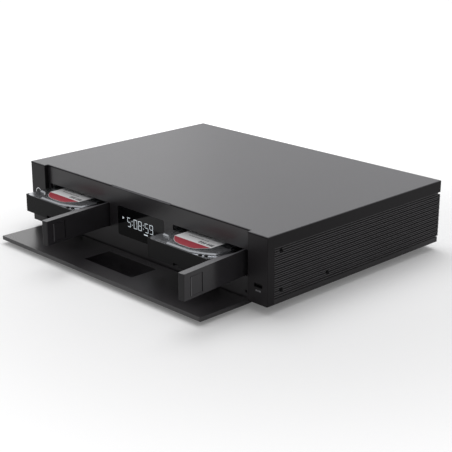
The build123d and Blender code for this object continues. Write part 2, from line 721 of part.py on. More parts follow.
BACKPLANE_Y = 166.0
SOCKET_LEFT = DRIVE_LEFT + 12.0
SOCKET_WIDTH = 42.0
SOCKET_LOW = 28.6
SOCKET_HIGH = 34.0
SOCKET_REACH = 6.0
MOUTHS = ((2.0, 16.0), (18.0, 40.0))
MOUTH_LOW = 30.4
MOUTH_HIGH = 32.0
MOUTH_DEEP = 5.0
BACKPLANE_MARGIN = 8.0
HEADERS = ((4.0, 16.0), (24.0, 40.0))
HEADER_LOW = 40.0
HEADER_HIGH = 47.0
HEADER_REACH = 4.0


def backplane_boards():
    back = BACKPLANE_Y + BOARD_THICK
    right = SOCKET_LEFT + SOCKET_WIDTH
    board = block(SOCKET_LEFT - BACKPLANE_MARGIN, right + BACKPLANE_MARGIN,
                  BACKPLANE_Y, back, BAY_LOW, BAY_HIGH)
    for x0, x1 in HEADERS:
        board += block(SOCKET_LEFT + x0, SOCKET_LEFT + x1, back, back + HEADER_REACH,
                       HEADER_LOW, HEADER_HIGH)
    return both_bays(board)


def backplane_connectors():
    front = BACKPLANE_Y - SOCKET_REACH
    body = block(SOCKET_LEFT, SOCKET_LEFT + SOCKET_WIDTH, front, BACKPLANE_Y,
                 SOCKET_LOW, SOCKET_HIGH)
    for x0, x1 in MOUTHS:
        body -= block(SOCKET_LEFT + x0, SOCKET_LEFT + x1, front - 1, front + MOUTH_DEEP,
                      MOUTH_LOW, MOUTH_HIGH)
    return both_bays(body)


# ---- a hard drive, drawn with its left front lower corner at the origin ----
PLUG_POCKET = 7.0
FRONT_NOTCH = (43.0, 52.0, 4.0, 3.5)
CORNER_LEFT = 5.0
CORNER_RIGHT = 3.0
PLUG_RECESS = (10.0, 56.0, 8.6)
SIDE_HOLE = 1.5
SIDE_HOLE_DEEP = 3.0
SIDE_HOLE_YS = (28.5, 70.1, 130.1)
SIDE_HOLE_Z = 6.35
PILOT_RADIUS = 1.0
PILOT_LOW = DRIVE_CAST_TOP - 4.0
PLATEAU_TOP = DRIVE_HEIGHT
PLATEAU_CHAMFER = 1.6
LABEL_THICK = 0.2


def in_drive(shape, side):
    """A drive piece moved to its place in a bay, pulled out as at rest."""
    return on_bay(Pos(DRIVE_LEFT, DRIVE_FRONT, DRIVE_LOW) * shape, side)


def drive_base():
    width, length = DRIVE_WIDTH, DRIVE_LENGTH
    base = block(0, width, 0, length, DRIVE_BOARD, DRIVE_CAST_TOP)
    base += prism(((0, 0), (CORNER_LEFT, 0), (0, CORNER_LEFT)), DRIVE_CAST_TOP, DRIVE_RIM_TOP)
    x0, x1, deep, high = FRONT_NOTCH
    base -= block(x0, x1, -1, deep, DRIVE_BOARD - 1, DRIVE_BOARD + high)
    x0, x1, high = PLUG_RECESS
    base -= block(x0, x1, length - PLUG_POCKET, length + 1, DRIVE_BOARD - 1, high)
    for x, y in DRIVE_SCREW_SPOTS:
        base -= rod_z(PILOT_RADIUS, x, y, PILOT_LOW, DRIVE_RIM_TOP + 1)
    for x0, x1 in ((-1, SIDE_HOLE_DEEP), (width - SIDE_HOLE_DEEP, width + 1)):
        for y in SIDE_HOLE_YS:
            base -= rod_x(SIDE_HOLE, x0, x1, y, SIDE_HOLE_Z)
    return base


FRONT_SCREW_SPOTS = ((84.5, 2.7), (90.8, 5.6))
WELL_SCREW_SPOTS = ((6.0, 60.0), (95.6, 60.0), (6.0, 138.0), (95.6, 138.0), (52.0, 142.0))
DRIVE_SCREW_SPOTS = FRONT_SCREW_SPOTS + WELL_SCREW_SPOTS
HEAD_RADIUS = 2.2
HEAD_HIGH = 1.1
HEAD_GAP = 0.5
HEAD_SOCKET = 0.9
HEAD_SOCKET_FLOOR = 0.4
COVER_INSET = 0.3
COVER_CUT = 8.0
PLATEAU_INSET = 3.0
GROOVE_MIDDLE = (50.8, 46.0)
GROOVE_RADIUS = 42.0
GROOVE_HALF = 0.4
GROOVE_DEEP = 0.35


def cover_rim():
    """The flat lower sheet of the drive's cover."""
    right, back = DRIVE_WIDTH - COVER_INSET, DRIVE_LENGTH - COVER_INSET
    return ((CORNER_LEFT, COVER_INSET), (right - CORNER_RIGHT, COVER_INSET),
            (right, CORNER_RIGHT), (right, back - COVER_CUT), (right - COVER_CUT, back),
            (COVER_CUT, back), (COVER_INSET, back - COVER_CUT), (COVER_INSET, CORNER_LEFT))


def cover_plateau():
    """The raised middle of the drive's cover, with a stepped front left corner."""
    right = DRIVE_WIDTH - PLATEAU_INSET
    return ((31, 0.6), (70, 0.6), (86, 5.6), (right, 13.4), (right, 112), (right - 11, 130),
            (14, 130), (4, 112), (4, 20.5), (6, 17.6), (15.5, 16.6), (23, 11.5), (27.5, 6))


def drive_cover():
    cover = prism(cover_rim(), DRIVE_CAST_TOP, DRIVE_RIM_TOP)
    plateau = prism(cover_plateau(), DRIVE_RIM_TOP, PLATEAU_TOP)
    top = plateau.faces().sort_by(Axis.Z)[-1]
    cover += chamfer(top.edges(), PLATEAU_CHAMFER)
    x, y = GROOVE_MIDDLE
    ring = rod_z(GROOVE_RADIUS + GROOVE_HALF, x, y, PLATEAU_TOP - GROOVE_DEEP, PLATEAU_TOP + 1)
    cover -= ring - rod_z(GROOVE_RADIUS - GROOVE_HALF, x, y, DRIVE_CAST_TOP, PLATEAU_TOP + 2)
    for x, y in FRONT_SCREW_SPOTS:
        cover -= rod_z(PILOT_RADIUS, x, y, DRIVE_CAST_TOP - 1, DRIVE_RIM_TOP + 1)
    for x, y in WELL_SCREW_SPOTS:
        cover -= rod_z(HEAD_RADIUS + HEAD_GAP, x, y, DRIVE_CAST_TOP - 1, PLATEAU_TOP + 1)
    return cover


def drive_label():
    """A label with a tapering front end, its two front corners cut back in short steps."""
    front_left = ((21.2, 22.3), (30.5, 12.6), (37.5, 8.6), (47, 6.6))
    front_right = ((64, 6.6), (70.5, 9.2), (81.2, 22.3))
    outline = (*front_left, *front_right, (81.2, 106), (21.2, 106))
    return prism(outline, PLATEAU_TOP, PLATEAU_TOP + LABEL_THICK)


DRIVE_BOARD_INSET = 4.0
DRIVE_BOARD_FRONT = 52.0
PLUG_TAB = (12.0, 54.0)
PLUG_BLADES = ((14.5, 27.5), (30.5, 51.5))
BLADE_LOW = 4.6
BLADE_HIGH = 5.8
BLADE_BACK = DRIVE_LENGTH - 1.5
BLADE_ROOT_BACK = DRIVE_LENGTH - 6.0


def drive_board():
    pocket = DRIVE_LENGTH - PLUG_POCKET
    edge = pocket - 0.5
    board = block(DRIVE_BOARD_INSET, DRIVE_WIDTH - DRIVE_BOARD_INSET,
                  DRIVE_BOARD_FRONT, edge, 0, DRIVE_BOARD)
    board += block(*PLUG_TAB, edge, DRIVE_LENGTH - 1, 0, DRIVE_BOARD)
    for blade in PLUG_BLADES:
        board += block(*blade, pocket, BLADE_BACK, BLADE_LOW, BLADE_HIGH)
        board += block(*blade, pocket, BLADE_ROOT_BACK, 0, BLADE_LOW)
    return board


def drive_screws():
    solids = []
    for x, y in DRIVE_SCREW_SPOTS:
        seat = DRIVE_RIM_TOP if (x, y) in FRONT_SCREW_SPOTS else DRIVE_CAST_TOP
        head = rod_z(HEAD_RADIUS, x, y, seat, seat + HEAD_HIGH)
        head -= rod_z(HEAD_SOCKET, x, y, seat + HEAD_SOCKET_FLOOR, seat + HEAD_HIGH + 1)
        solids.append(head + rod_z(PILOT_RADIUS, x, y, PILOT_LOW, seat))
    return Compound(children=solids)


# ---- the boards in the rear half ----
def bored_board(board):
    x0, x1, y0, y1 = board
    plate = block(x0, x1, y0, y1, BOARD_LOW, BOARD_TOP)
    for x, y in board_corners(board, BOARD_INSET):
        plate -= rod_z(SCREW_SHANK + 0.1, x, y, BOARD_LOW - 1, BOARD_TOP + 1)
    return plate


CHIP_SPOT = (50.0, 238.0)
CHIP_HALF = 13.5
CHIP_HIGH = 2.2
SINK_HALF = 32.0
SINK_BASE = 4.0
SINK_FIN = 20.0
SINK_FINS = 11
SINK_FIN_THICK = 1.4


MEMORY_XS = (-2.0, 98.0)
MEMORY_YS = (224.0, 246.0)
MEMORY_SIZE = (9.0, 13.0, 1.2)
SMALL_CHIPS = ((120.0, 214.0, 16.0), (150.0, 246.0, 10.0))
SMALL_CHIP_HIGH = 1.6


def main_board():
    return bored_board(MAIN_BOARD)


def board_chips():
    x, y = CHIP_SPOT
    solids = [block(x - CHIP_HALF, x + CHIP_HALF, y - CHIP_HALF, y + CHIP_HALF,
                    BOARD_TOP, BOARD_TOP + CHIP_HIGH)]
    wide, deep, high = MEMORY_SIZE
    for x0 in MEMORY_XS:
        for y0 in MEMORY_YS:
            solids.append(block(x0, x0 + wide, y0, y0 + deep, BOARD_TOP, BOARD_TOP + high))
    for x0, y0, side in SMALL_CHIPS:
        solids.append(block(x0, x0 + side, y0, y0 + side, BOARD_TOP, BOARD_TOP + SMALL_CHIP_HIGH))
    return Compound(children=solids)


def soc_heatsink():
    x, y = CHIP_SPOT
    low = BOARD_TOP + CHIP_HIGH
    sink = block(x - SINK_HALF, x + SINK_HALF, y - SINK_HALF, y + SINK_HALF, low, low + SINK_BASE)
    step = (2 * SINK_HALF - SINK_FIN_THICK) / (SINK_FINS - 1)
    for i in range(SINK_FINS):
        x0 = x - SINK_HALF + i * step
        sink += block(x0, x0 + SINK_FIN_THICK, y - SINK_HALF, y + SINK_HALF,
                      low + SINK_BASE, low + SINK_BASE + SINK_FIN)
    return sink


CAPACITORS = ((168, 206, 5, 12), (182, 206, 5, 12), (182, 222, 4, 9), (-48, 210, 5, 12),
              (-48, 226, 4, 9), (-96, 212, 5, 20), (-96, 226, 5, 20), (-186, 212, 11, 30))


def board_capacitors():
    cans = [rod_z(r, x, y, BOARD_TOP, BOARD_TOP + tall) for x, y, r, tall in CAPACITORS]
    return Compound(children=cans)


def psu_board():
    return bored_board(POWER_BOARD)


TRANSFORMER_SPOT = (-133.0, 244.0)
TRANSFORMER_CORE = (17.0, 18.0, 24.0)
CORE_LIMB = 6.0
WINDING_HALF = (15.0, 15.0)
WINDING_MARGIN = 5.0
PSU_SINK_X = (-176.0, -172.5, -162.0)
PSU_SINK_Y = (226.0, 272.0)
PSU_SINK_HIGH = 30.0
PSU_FINS = 4
PSU_FIN_LOWEST = 5.0
PSU_FIN_STEP = 7.0
PSU_FIN_THICK = 1.5


def psu_transformer():
    """A core with a window through it, and the winding that fills the window."""
    x, y = TRANSFORMER_SPOT
    half_x, half_y, high = TRANSFORMER_CORE
    top = BOARD_TOP + high
    core = block(x - half_x, x + half_x, y - half_y, y + half_y, BOARD_TOP, top)
    core -= block(x - half_x - 1, x + half_x + 1, y - half_y + CORE_LIMB, y + half_y - CORE_LIMB,
                  BOARD_TOP + CORE_LIMB, top - CORE_LIMB)
    half_x, half_y = WINDING_HALF
    return core + block(x - half_x, x + half_x, y - half_y, y + half_y,
                        BOARD_TOP + WINDING_MARGIN, top - WINDING_MARGIN)


def psu_heatsink():
    back, front, tips = PSU_SINK_X
    sink = block(back, front, *PSU_SINK_Y, BOARD_TOP, BOARD_TOP + PSU_SINK_HIGH)
    for i in range(PSU_FINS):
        z = BOARD_TOP + PSU_FIN_LOWEST + i * PSU_FIN_STEP
        sink += block(front, tips, *PSU_SINK_Y, z, z + PSU_FIN_THICK)
    return sink


# ---- the rear ----
INLET_SPOT = (-165.0, 34.0)
INLET_HALF = (13.6, 9.8)
INLET_FLANGE = (24.5, 11.4)
INLET_SCREW = 20.0
ROCKER_SPOT = (-118.0, 34.0)
ROCKER_HALF = (6.4, 9.4)
ROCKER_FLANGE = (8.0, 11.0)
LAN = (168.0, 8.0, 13.6)
USB_STACK = (144.0, 7.2, 16.0)
HDMI_XS = (118.0, 96.0)
HDMI_HALF = 7.6
HDMI_HIGH = 6.0
OPTICAL = (74.0, 5.0, 10.4)
RCA_XS = (52.0, 36.0, 20.0)
RCA_Z = 19.6
RCA_RADIUS = 4.2
SOCKET_FRONT = 292.0
SOCKET_PROUD = 0.8
CUT_GAP = 0.15
REAR_VENT_LEFTS = (-72.0, 24.0, 118.0)
REAR_VENT_COUNT = 10
REAR_VENT_STEP = 6.0
REAR_VENT_WIDE = 2.6
REAR_VENT_LOW = 38.0
REAR_VENT_HIGH = 62.0


def centred_cut(x, half, z0, z1):
    """A rectangular hole through the rear panel."""
    return block(x - half - CUT_GAP, x + half + CUT_GAP, REAR_INNER - 1, REAR_FACE + 1,
                 z0 - CUT_GAP, z1 + CUT_GAP)


def rear_panel():
    panel = block(-REAR_HALF, REAR_HALF, REAR_INNER, REAR_FACE, 0, COVER_LOW)
    for spot, half in ((INLET_SPOT, INLET_HALF), (ROCKER_SPOT, ROCKER_HALF)):
        x, z = spot
        panel -= block(x - half[0], x + half[0], REAR_INNER - 1, REAR_FACE + 1,
                       z - half[1], z + half[1])
    for side in (-1, 1):
        x, z = INLET_SPOT
        panel -= rod_y(SCREW_SHANK, x + side * INLET_SCREW, REAR_INNER - 1, REAR_FACE + 1, z)
    for x, half, high in (LAN, USB_STACK, OPTICAL):
        panel -= centred_cut(x, half, BOARD_TOP, BOARD_TOP + high)
    for x in HDMI_XS:
        panel -= centred_cut(x, HDMI_HALF, BOARD_TOP, BOARD_TOP + HDMI_HIGH)
    for x in RCA_XS:
        panel -= rod_y(RCA_RADIUS + CUT_GAP, x, REAR_INNER - 1, REAR_FACE + 1, RCA_Z)
    for x in REAR_SCREWS:
        panel -= rod_y(SCREW_SHANK, x, REAR_INNER - 1, REAR_FACE + 1, REAR_SCREW_Z)
    for left in REAR_VENT_LEFTS:
        for i in range(REAR_VENT_COUNT):
            x = left + i * REAR_VENT_STEP
            panel -= block(x, x + REAR_VENT_WIDE, REAR_INNER - 1, REAR_FACE + 1,
                           REAR_VENT_LOW, REAR_VENT_HIGH)
    return panel


MOUTH_FLOOR = SOCKET_FRONT + 4.0
TONGUE_ROOT = SOCKET_FRONT + 3.0
TONGUE_TIP = REAR_FACE - 2.0
LAN_WALL = 1.4
USB_STACK_WALL = 0.8
USB_TONGUES = (-4.2, 3.2)
USB_TONGUE_THICK = 1.6
USB_TONGUE_MARGIN = 1.6
HDMI_WALL = 0.6
HDMI_TONGUE = (5.4, 0.7)
OPTICAL_WALL = 1.6
RCA_BODY_HALF = 6.5
RCA_NECK = 3.6
RCA_BORE = 1.7


def shell_with_mouth(x, half, high, wall):
    """A socket shell open to the rear."""
    shell = block(x - half, x + half, SOCKET_FRONT, REAR_FACE + SOCKET_PROUD,
                  BOARD_TOP, BOARD_TOP + high)
    mouth = block(x - half + wall, x + half - wall, MOUTH_FLOOR, REAR_FACE + SOCKET_PROUD + 1,
                  BOARD_TOP + wall, BOARD_TOP + high - wall)
    return shell - mouth


def data_sockets():
    solids = [shell_with_mouth(*LAN, LAN_WALL)]
    x, half, high = USB_STACK
    usb = shell_with_mouth(x, half, high, USB_STACK_WALL)
    middle = BOARD_TOP + high / 2
    usb += block(x - half, x + half, SOCKET_FRONT, REAR_FACE,
                 middle - USB_STACK_WALL, middle + USB_STACK_WALL)
    reach = half - USB_TONGUE_MARGIN
    for rise in USB_TONGUES:
        z = middle + rise
        usb += block(x - reach, x + reach, TONGUE_ROOT, TONGUE_TIP, z, z + USB_TONGUE_THICK)
    solids.append(usb)
    tongue_x, tongue_z = HDMI_TONGUE
    for x in HDMI_XS:
        hdmi = shell_with_mouth(x, HDMI_HALF, HDMI_HIGH, HDMI_WALL)
        z = BOARD_TOP + HDMI_HIGH / 2
        hdmi += block(x - tongue_x, x + tongue_x, TONGUE_ROOT, TONGUE_TIP,
                      z - tongue_z, z + tongue_z)
        solids.append(hdmi)
    return Compound(children=solids)


def audio_sockets():
    x, half, high = OPTICAL
    solids = [shell_with_mouth(x, half, high, OPTICAL_WALL)]
    for x in RCA_XS:
        body = block(x - RCA_BODY_HALF, x + RCA_BODY_HALF, SOCKET_FRONT, REAR_INNER,
                     BOARD_TOP, RCA_Z + RCA_BODY_HALF)
        body -= rod_y(RCA_NECK, x, MOUTH_FLOOR, REAR_INNER + 1, RCA_Z)
        solids.append(body)
    return Compound(children=solids)


def rca_barrels():
    solids = []
    for x in RCA_XS:
        barrel = rod_y(RCA_RADIUS, x, REAR_INNER, REAR_FACE + REAR_REACH, RCA_Z)
        barrel += rod_y(RCA_NECK, x, MOUTH_FLOOR, REAR_INNER, RCA_Z)
        barrel -= rod_y(RCA_BORE, x, MOUTH_FLOOR + 2, REAR_FACE + REAR_REACH + 1, RCA_Z)
        solids.append(barrel)
    return Compound(children=solids)


INLET_FRONT = REAR_FACE - 24.0
INLET_BACK = REAR_FACE + 2.0
WELL_FLOOR = REAR_FACE - 15.0
WELL_HALF = (11.8, 7.8)
WELL_SLOPE = (7.6, 3.6)
INLET_PINS = ((-7.0, -2.0), (7.0, -2.0), (0.0, 2.5))
INLET_PIN_HALF = (1.0, 2.0)
INLET_PIN_FRONT = REAR_FACE - 29.0
INLET_PIN_BACK = REAR_FACE - 1.0


def inlet_pin_bars(y0, y1):
    """The three flat bars of the mains pins between two depths."""
    x, z = INLET_SPOT
    half_x, half_z = INLET_PIN_HALF
    return [block(x + dx - half_x, x + dx + half_x, y0, y1, z + dz - half_z, z + dz + half_z)
            for dx, dz in INLET_PINS]


def power_inlet():
    x, z = INLET_SPOT
    dx, dz = INLET_HALF
    fx, fz = INLET_FLANGE
    inlet = block(x - dx, x + dx, INLET_FRONT, REAR_FACE, z - dz, z + dz)
    inlet += block(x - fx, x + fx, REAR_FACE, INLET_BACK, z - fz, z + fz)
    wx, wz = WELL_HALF
    sx, sz = WELL_SLOPE
    well = ((x - wx, z - wz), (x + wx, z - wz), (x + wx, z + sz),
            (x + sx, z + wz), (x - sx, z + wz), (x - wx, z + sz))
    inlet -= front_prism(well, WELL_FLOOR, INLET_BACK + 1)
    for side in (-1, 1):
        inlet -= rod_y(SCREW_SHANK, x + side * INLET_SCREW, REAR_FACE - 1, INLET_BACK + 1, z)
    for bar in inlet_pin_bars(INLET_FRONT - 1, WELL_FLOOR + 1):
        inlet -= bar
    return inlet


def inlet_pins():
    return Compound(children=inlet_pin_bars(INLET_PIN_FRONT, INLET_PIN_BACK))


ROCKER_TILT = 9.0
ROCKER_PIN = 1.5
ROCKER_PIN_GAP = 0.05
ROCKER_DEEP = 3.0
ROCKER_BOX_FRONT = REAR_FACE - 18.0
ROCKER_BOX_FLOOR = REAR_FACE - 14.0
ROCKER_BOX_WALL = 1.0
ROCKER_RIM = 1.6
ROCKER_SIDE_GAP = 1.3


def rocker_frame():
    x, z = ROCKER_SPOT
    dx, dz = ROCKER_HALF
    fx, fz = ROCKER_FLANGE
    wall = ROCKER_BOX_WALL
    frame = block(x - dx, x + dx, ROCKER_BOX_FRONT, REAR_FACE, z - dz, z + dz)
    frame += block(x - fx, x + fx, REAR_FACE, REAR_FACE + ROCKER_RIM, z - fz, z + fz)
    frame -= block(x - dx + wall, x + dx - wall, ROCKER_BOX_FLOOR, REAR_FACE + ROCKER_RIM + 1,
                   z - dz + wall, z + dz - wall)
    return frame - rod_x(ROCKER_PIN, x - dx - 1, x + dx + 1, REAR_FACE - ROCKER_DEEP, z)


def power_rocker():
    x, z = ROCKER_SPOT
    dx, dz = ROCKER_HALF
    y = REAR_FACE - ROCKER_DEEP
    half = dx - ROCKER_SIDE_GAP
    upper = ((y + 5.2, z), (y + 4.6, z + 7.6), (y - 2.4, z + 7.2), (y - 4, z))
    lower = ((y - 4, z), (y - 2.4, z - 7.2), (y + 4.6, z - 7.6), (y + 5.2, z))
    rocker = None
    for points in (upper, lower):
        outline = Plane.YZ.offset(x - half) * Polygon(*points, align=None)
        wing = extrude(outline, amount=2 * half, dir=(1, 0, 0))
        rocker = wing if rocker is None else rocker + wing
    rocker += rod_x(ROCKER_PIN - ROCKER_PIN_GAP, x - dx, x + dx, y, z)
    return Pos(0, y, z) * Rot(ROCKER_TILT, 0, 0) * Pos(0, -y, -z) * rocker


# ---- feet and screws ----
FOOT_RADIUS = 17.0
FOOT_CHAMFER = 1.5
FOOT_COUNTERBORE = 4.2
FOOT_SEAT = -4.0
PAD_THICK = 2.0
PAD_INSET = 2.5
SIDE_SCREW = (2.7, 2.0, 8.5)
REAR_SCREW = (2.8, 1.8, 3.0)
INLET_SCREW_SIZE = (2.6, 1.6, 3.5)
BOARD_SCREW = (2.6, 1.8, 5.0)
FOOT_SCREW = (3.8, 2.6, 5.4)


def feet():
    solids = []
    for x, y in FOOT_SPOTS:
        foot = rod_z(FOOT_RADIUS, x, y, -FOOT_HEIGHT + PAD_THICK, 0)
        foot = chamfer(foot.faces().sort_by(Axis.Z)[0].edges(), FOOT_CHAMFER)
        foot -= rod_z(FOOT_BOLT, x, y, -FOOT_HEIGHT, 1)
        foot -= rod_z(FOOT_COUNTERBORE, x, y, -FOOT_HEIGHT, FOOT_SEAT)
        solids.append(foot)
    return Compound(children=solids)


def foot_pads():
    pads = []
    for x, y in FOOT_SPOTS:
        low, high = -FOOT_HEIGHT, -FOOT_HEIGHT + PAD_THICK
        pad = rod_z(FOOT_RADIUS - PAD_INSET, x, y, low, high)
        pads.append(pad - rod_z(FOOT_COUNTERBORE, x, y, low - 1, high + 1))
    return Compound(children=pads)


def screw(shank, head_radius, head_high, length):
    """A screw along Z with its head above Z = 0 and a hexagon socket in the head."""
    body = rod_z(head_radius, 0, 0, 0, head_high)
    socket = Pos(0, 0, head_high * 0.4) * RegularPolygon(head_radius * 0.45, 6)
    body -= extrude(socket, amount=head_high, dir=(0, 0, 1))
    return body + rod_z(shank, 0, 0, -length, 0)


def case_screws():
    solids = []
    for y, z in SIDE_SCREWS:
        side = Pos(SCREW_SEAT, y, z) * Rot(0, 90, 0) * screw(SCREW_SHANK, *SIDE_SCREW)
        solids.append(side)
        solids.append(mirrored(side))
    for x in REAR_SCREWS:
        rear = screw(SCREW_SHANK, *REAR_SCREW)
        solids.append(Pos(x, REAR_FACE, REAR_SCREW_Z) * Rot(-90, 0, 0) * rear)
    x, z = INLET_SPOT
    for side in (-1, 1):
        inlet = screw(SCREW_SHANK, *INLET_SCREW_SIZE)
        solids.append(Pos(x + side * INLET_SCREW, INLET_BACK, z) * Rot(-90, 0, 0) * inlet)
    for x, y in BOARD_SPOTS:
        solids.append(Pos(x, y, BOARD_TOP) * screw(SCREW_SHANK, *BOARD_SCREW))
    for x, y in FOOT_SPOTS:
        bolt = screw(FOOT_BOLT, *FOOT_SCREW)
        solids.append(Pos(x, y, FOOT_SEAT) * Rot(180, 0, 0) * bolt)
    return Compound(children=solids)


# ---- every piece, by the name of its node ----
PIECES = {
    "base_pan": base_pan,
    "top_cover": top_cover,
    "side_panel_right": side_panel,
    "side_panel_left": lambda: mirrored(side_panel()),
    "front_column_right": front_column_right,
    "front_column_left": front_column_left,
    "front_plate": front_plate,
    "rear_panel": rear_panel,
    "display_lens": display_lens,
    "display_digits": display_digits,
    "display_tube": display_tube,
    "display_board": display_board,
    "power_button": power_button,
    "button_ring": button_ring,
    "button_board": button_board,
    "usb_front_shell": usb_front_shell,
    "usb_front_tongue": usb_front_tongue,
    "flap": flap,
    "flap_window": flap_window,
    "flap_hinge_pins": flap_hinge_pins,
    "flap_hinge_brackets": flap_hinge_brackets,
    "door_pins": door_pins,
    "drive_guides": drive_guides,
    "backplane_boards": backplane_boards,
    "backplane_connectors": backplane_connectors,
    "main_board": main_board,
    "board_chips": board_chips,
    "soc_heatsink": soc_heatsink,
    "board_capacitors": board_capacitors,
    "psu_board": psu_board,
    "psu_transformer": psu_transformer,
    "psu_heatsink": psu_heatsink,
    "data_sockets": data_sockets,
    "audio_sockets": audio_sockets,
    "rca_barrels": rca_barrels,
    "power_inlet": power_inlet,
    "inlet_pins": inlet_pins,
    "rocker_frame": rocker_frame,
    "power_rocker": power_rocker,
    "feet": feet,
    "foot_pads": foot_pads,
    "case_screws": case_screws,
}
BAY_PIECES = {
    "drive_cage": drive_cage,
    "bay_door": bay_door,
    "door_latch": door_latch,
    "latch_pin": latch_pin,
}
DRIVE_PIECES = {
    "drive_base": drive_base,
    "drive_cover": drive_cover,
    "drive_label": drive_label,
    "drive_board": drive_board,
    "drive_screws": drive_screws,
}


def place(shape):
    """Move a piece into the object's own frame."""
    return Pos(0, -SHIFT_Y, FOOT_HEIGHT) * shape


def write(name, shape):
    export_step(place(shape), f"parts/{name}.step")


os.makedirs("parts", exist_ok=True)
for piece_name, make in PIECES.items():
    write(piece_name, make())
for side_name in ("left", "right"):
    for piece_name, make in BAY_PIECES.items():
        write(f"{piece_name}_{side_name}", on_bay(make(), side_name))
    for piece_name, make in DRIVE_PIECES.items():
        write(f"{piece_name}_{side_name}", in_drive(make(), side_name))
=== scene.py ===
import bpy
import bmesh
import math
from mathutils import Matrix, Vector


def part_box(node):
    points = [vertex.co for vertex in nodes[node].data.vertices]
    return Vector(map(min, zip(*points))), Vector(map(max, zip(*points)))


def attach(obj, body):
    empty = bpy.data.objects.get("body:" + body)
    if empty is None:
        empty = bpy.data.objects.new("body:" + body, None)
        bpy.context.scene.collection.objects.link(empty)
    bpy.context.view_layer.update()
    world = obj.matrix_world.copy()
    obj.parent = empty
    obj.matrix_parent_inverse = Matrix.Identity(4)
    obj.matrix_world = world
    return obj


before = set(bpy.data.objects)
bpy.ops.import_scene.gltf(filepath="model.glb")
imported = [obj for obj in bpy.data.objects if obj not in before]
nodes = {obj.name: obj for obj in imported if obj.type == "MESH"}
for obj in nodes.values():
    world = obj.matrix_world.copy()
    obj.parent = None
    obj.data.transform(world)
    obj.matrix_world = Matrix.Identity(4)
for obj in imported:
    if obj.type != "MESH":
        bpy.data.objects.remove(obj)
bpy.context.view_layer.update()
scene = bpy.context.scene

# The front face of the columns is Y = 0 and the underside of the case is Z = 0 in the
# sizes below, given in millimetres; at() turns such a point into the object's frame.
MM_PER_METRE = 1000
SHIFT_Y = 111.40975
FOOT = 10.0
SIDES = ("left", "right")


def at(x, y, z):
    return Vector((x, y - SHIFT_Y, z + FOOT)) / MM_PER_METRE


def both(name):
    """The names of a part's left and right copies."""
    return [f"{name}_{side}" for side in SIDES]


# ------------------------------------------------------------------ materials
# Nearly all of a noise's values lie between these two.
NOISE_LOW, NOISE_HIGH = 0.3, 0.7
SLOW_GRAIN = 14.0
LEAST_ROUGH = 0.02
PAINT_GRAIN = 1500
PAINT_SPREAD = 0.04


def new_material(name):
    material = bpy.data.materials.new(name)
    material.use_nodes = True
    tree = material.node_tree
    shader = tree.nodes["Principled BSDF"]
    return material, tree, shader


def node(tree, kind, **values):
    """A shader node; each value sets a property, or else the input of that name."""
    made = tree.nodes.new(kind)
    for key, value in values.items():
        if hasattr(made, key):
            setattr(made, key, value)
        else:
            made.inputs[key.replace("_", " ")].default_value = value
    return made


def surface(name, colour, rough, metal=0.0, grain=900.0, tint=0.08, bump=0.06, depth=0.0001,
            spread=0.05, stretch=(1, 1, 1), specular=0.5):
    """A finish with fine grain, a slow drift of tone and an uneven gloss."""
    material, tree, shader = new_material(name)
    link = tree.links.new
    place = node(tree, "ShaderNodeTexCoord")
    scale = node(tree, "ShaderNodeMapping", Scale=stretch)
    link(place.outputs["Object"], scale.inputs["Vector"])
    fine = node(tree, "ShaderNodeTexNoise", Scale=grain, Detail=3.0, Roughness=0.6)
    slow = node(tree, "ShaderNodeTexNoise", Scale=SLOW_GRAIN, Detail=2.0, Roughness=0.5)
    link(scale.outputs["Vector"], fine.inputs["Vector"])
    link(place.outputs["Object"], slow.inputs["Vector"])
    total = node(tree, "ShaderNodeMath", operation="ADD")
    link(fine.outputs["Fac"], total.inputs[0])
    link(slow.outputs["Fac"], total.inputs[1])
    tone = node(tree, "ShaderNodeValToRGB")
    dark, light = tone.color_ramp.elements
    dark.position, light.position = NOISE_LOW, NOISE_HIGH
    dark.color = [c * (1 - tint) for c in colour] + [1]
    light.color = [min(1, c * (1 + tint)) for c in colour] + [1]
    mean = node(tree, "ShaderNodeMath", operation="MULTIPLY")
    mean.inputs[1].default_value = 0.5
    link(total.outputs[0], mean.inputs[0])
    link(mean.outputs[0], tone.inputs["Fac"])
    link(tone.outputs["Color"], shader.inputs["Base Color"])
    gloss = node(tree, "ShaderNodeMapRange", From_Min=NOISE_LOW, From_Max=NOISE_HIGH,
                 To_Min=max(LEAST_ROUGH, rough - spread), To_Max=rough + spread)
    link(fine.outputs["Fac"], gloss.inputs["Value"])
    link(gloss.outputs["Result"], shader.inputs["Roughness"])
    if bump:
        relief = node(tree, "ShaderNodeBump", Strength=bump, Distance=depth)
        link(fine.outputs["Fac"], relief.inputs["Height"])
        link(relief.outputs["Normal"], shader.inputs["Normal"])
    shader.inputs["Metallic"].default_value = metal
    shader.inputs["Specular IOR Level"].default_value = specular
    return material


def paint(name, colour, rough, specular, bump, depth=0.0001, tint=0.10):
    """A sprayed finish, with a fine grain and an even gloss."""
    return surface(name, colour, rough, grain=PAINT_GRAIN, tint=tint, bump=bump, depth=depth,
                   spread=PAINT_SPREAD, specular=specular)


def lit(name, colour, strength):
    """A glowing finish with a slight drift of tone."""
    material = surface(name, colour, 0.4, tint=0.05, bump=0.0)
    shader = material.node_tree.nodes["Principled BSDF"]
    shader.inputs["Emission Color"].default_value = (*colour, 1)
    shader.inputs["Emission Strength"].default_value = strength
    return material


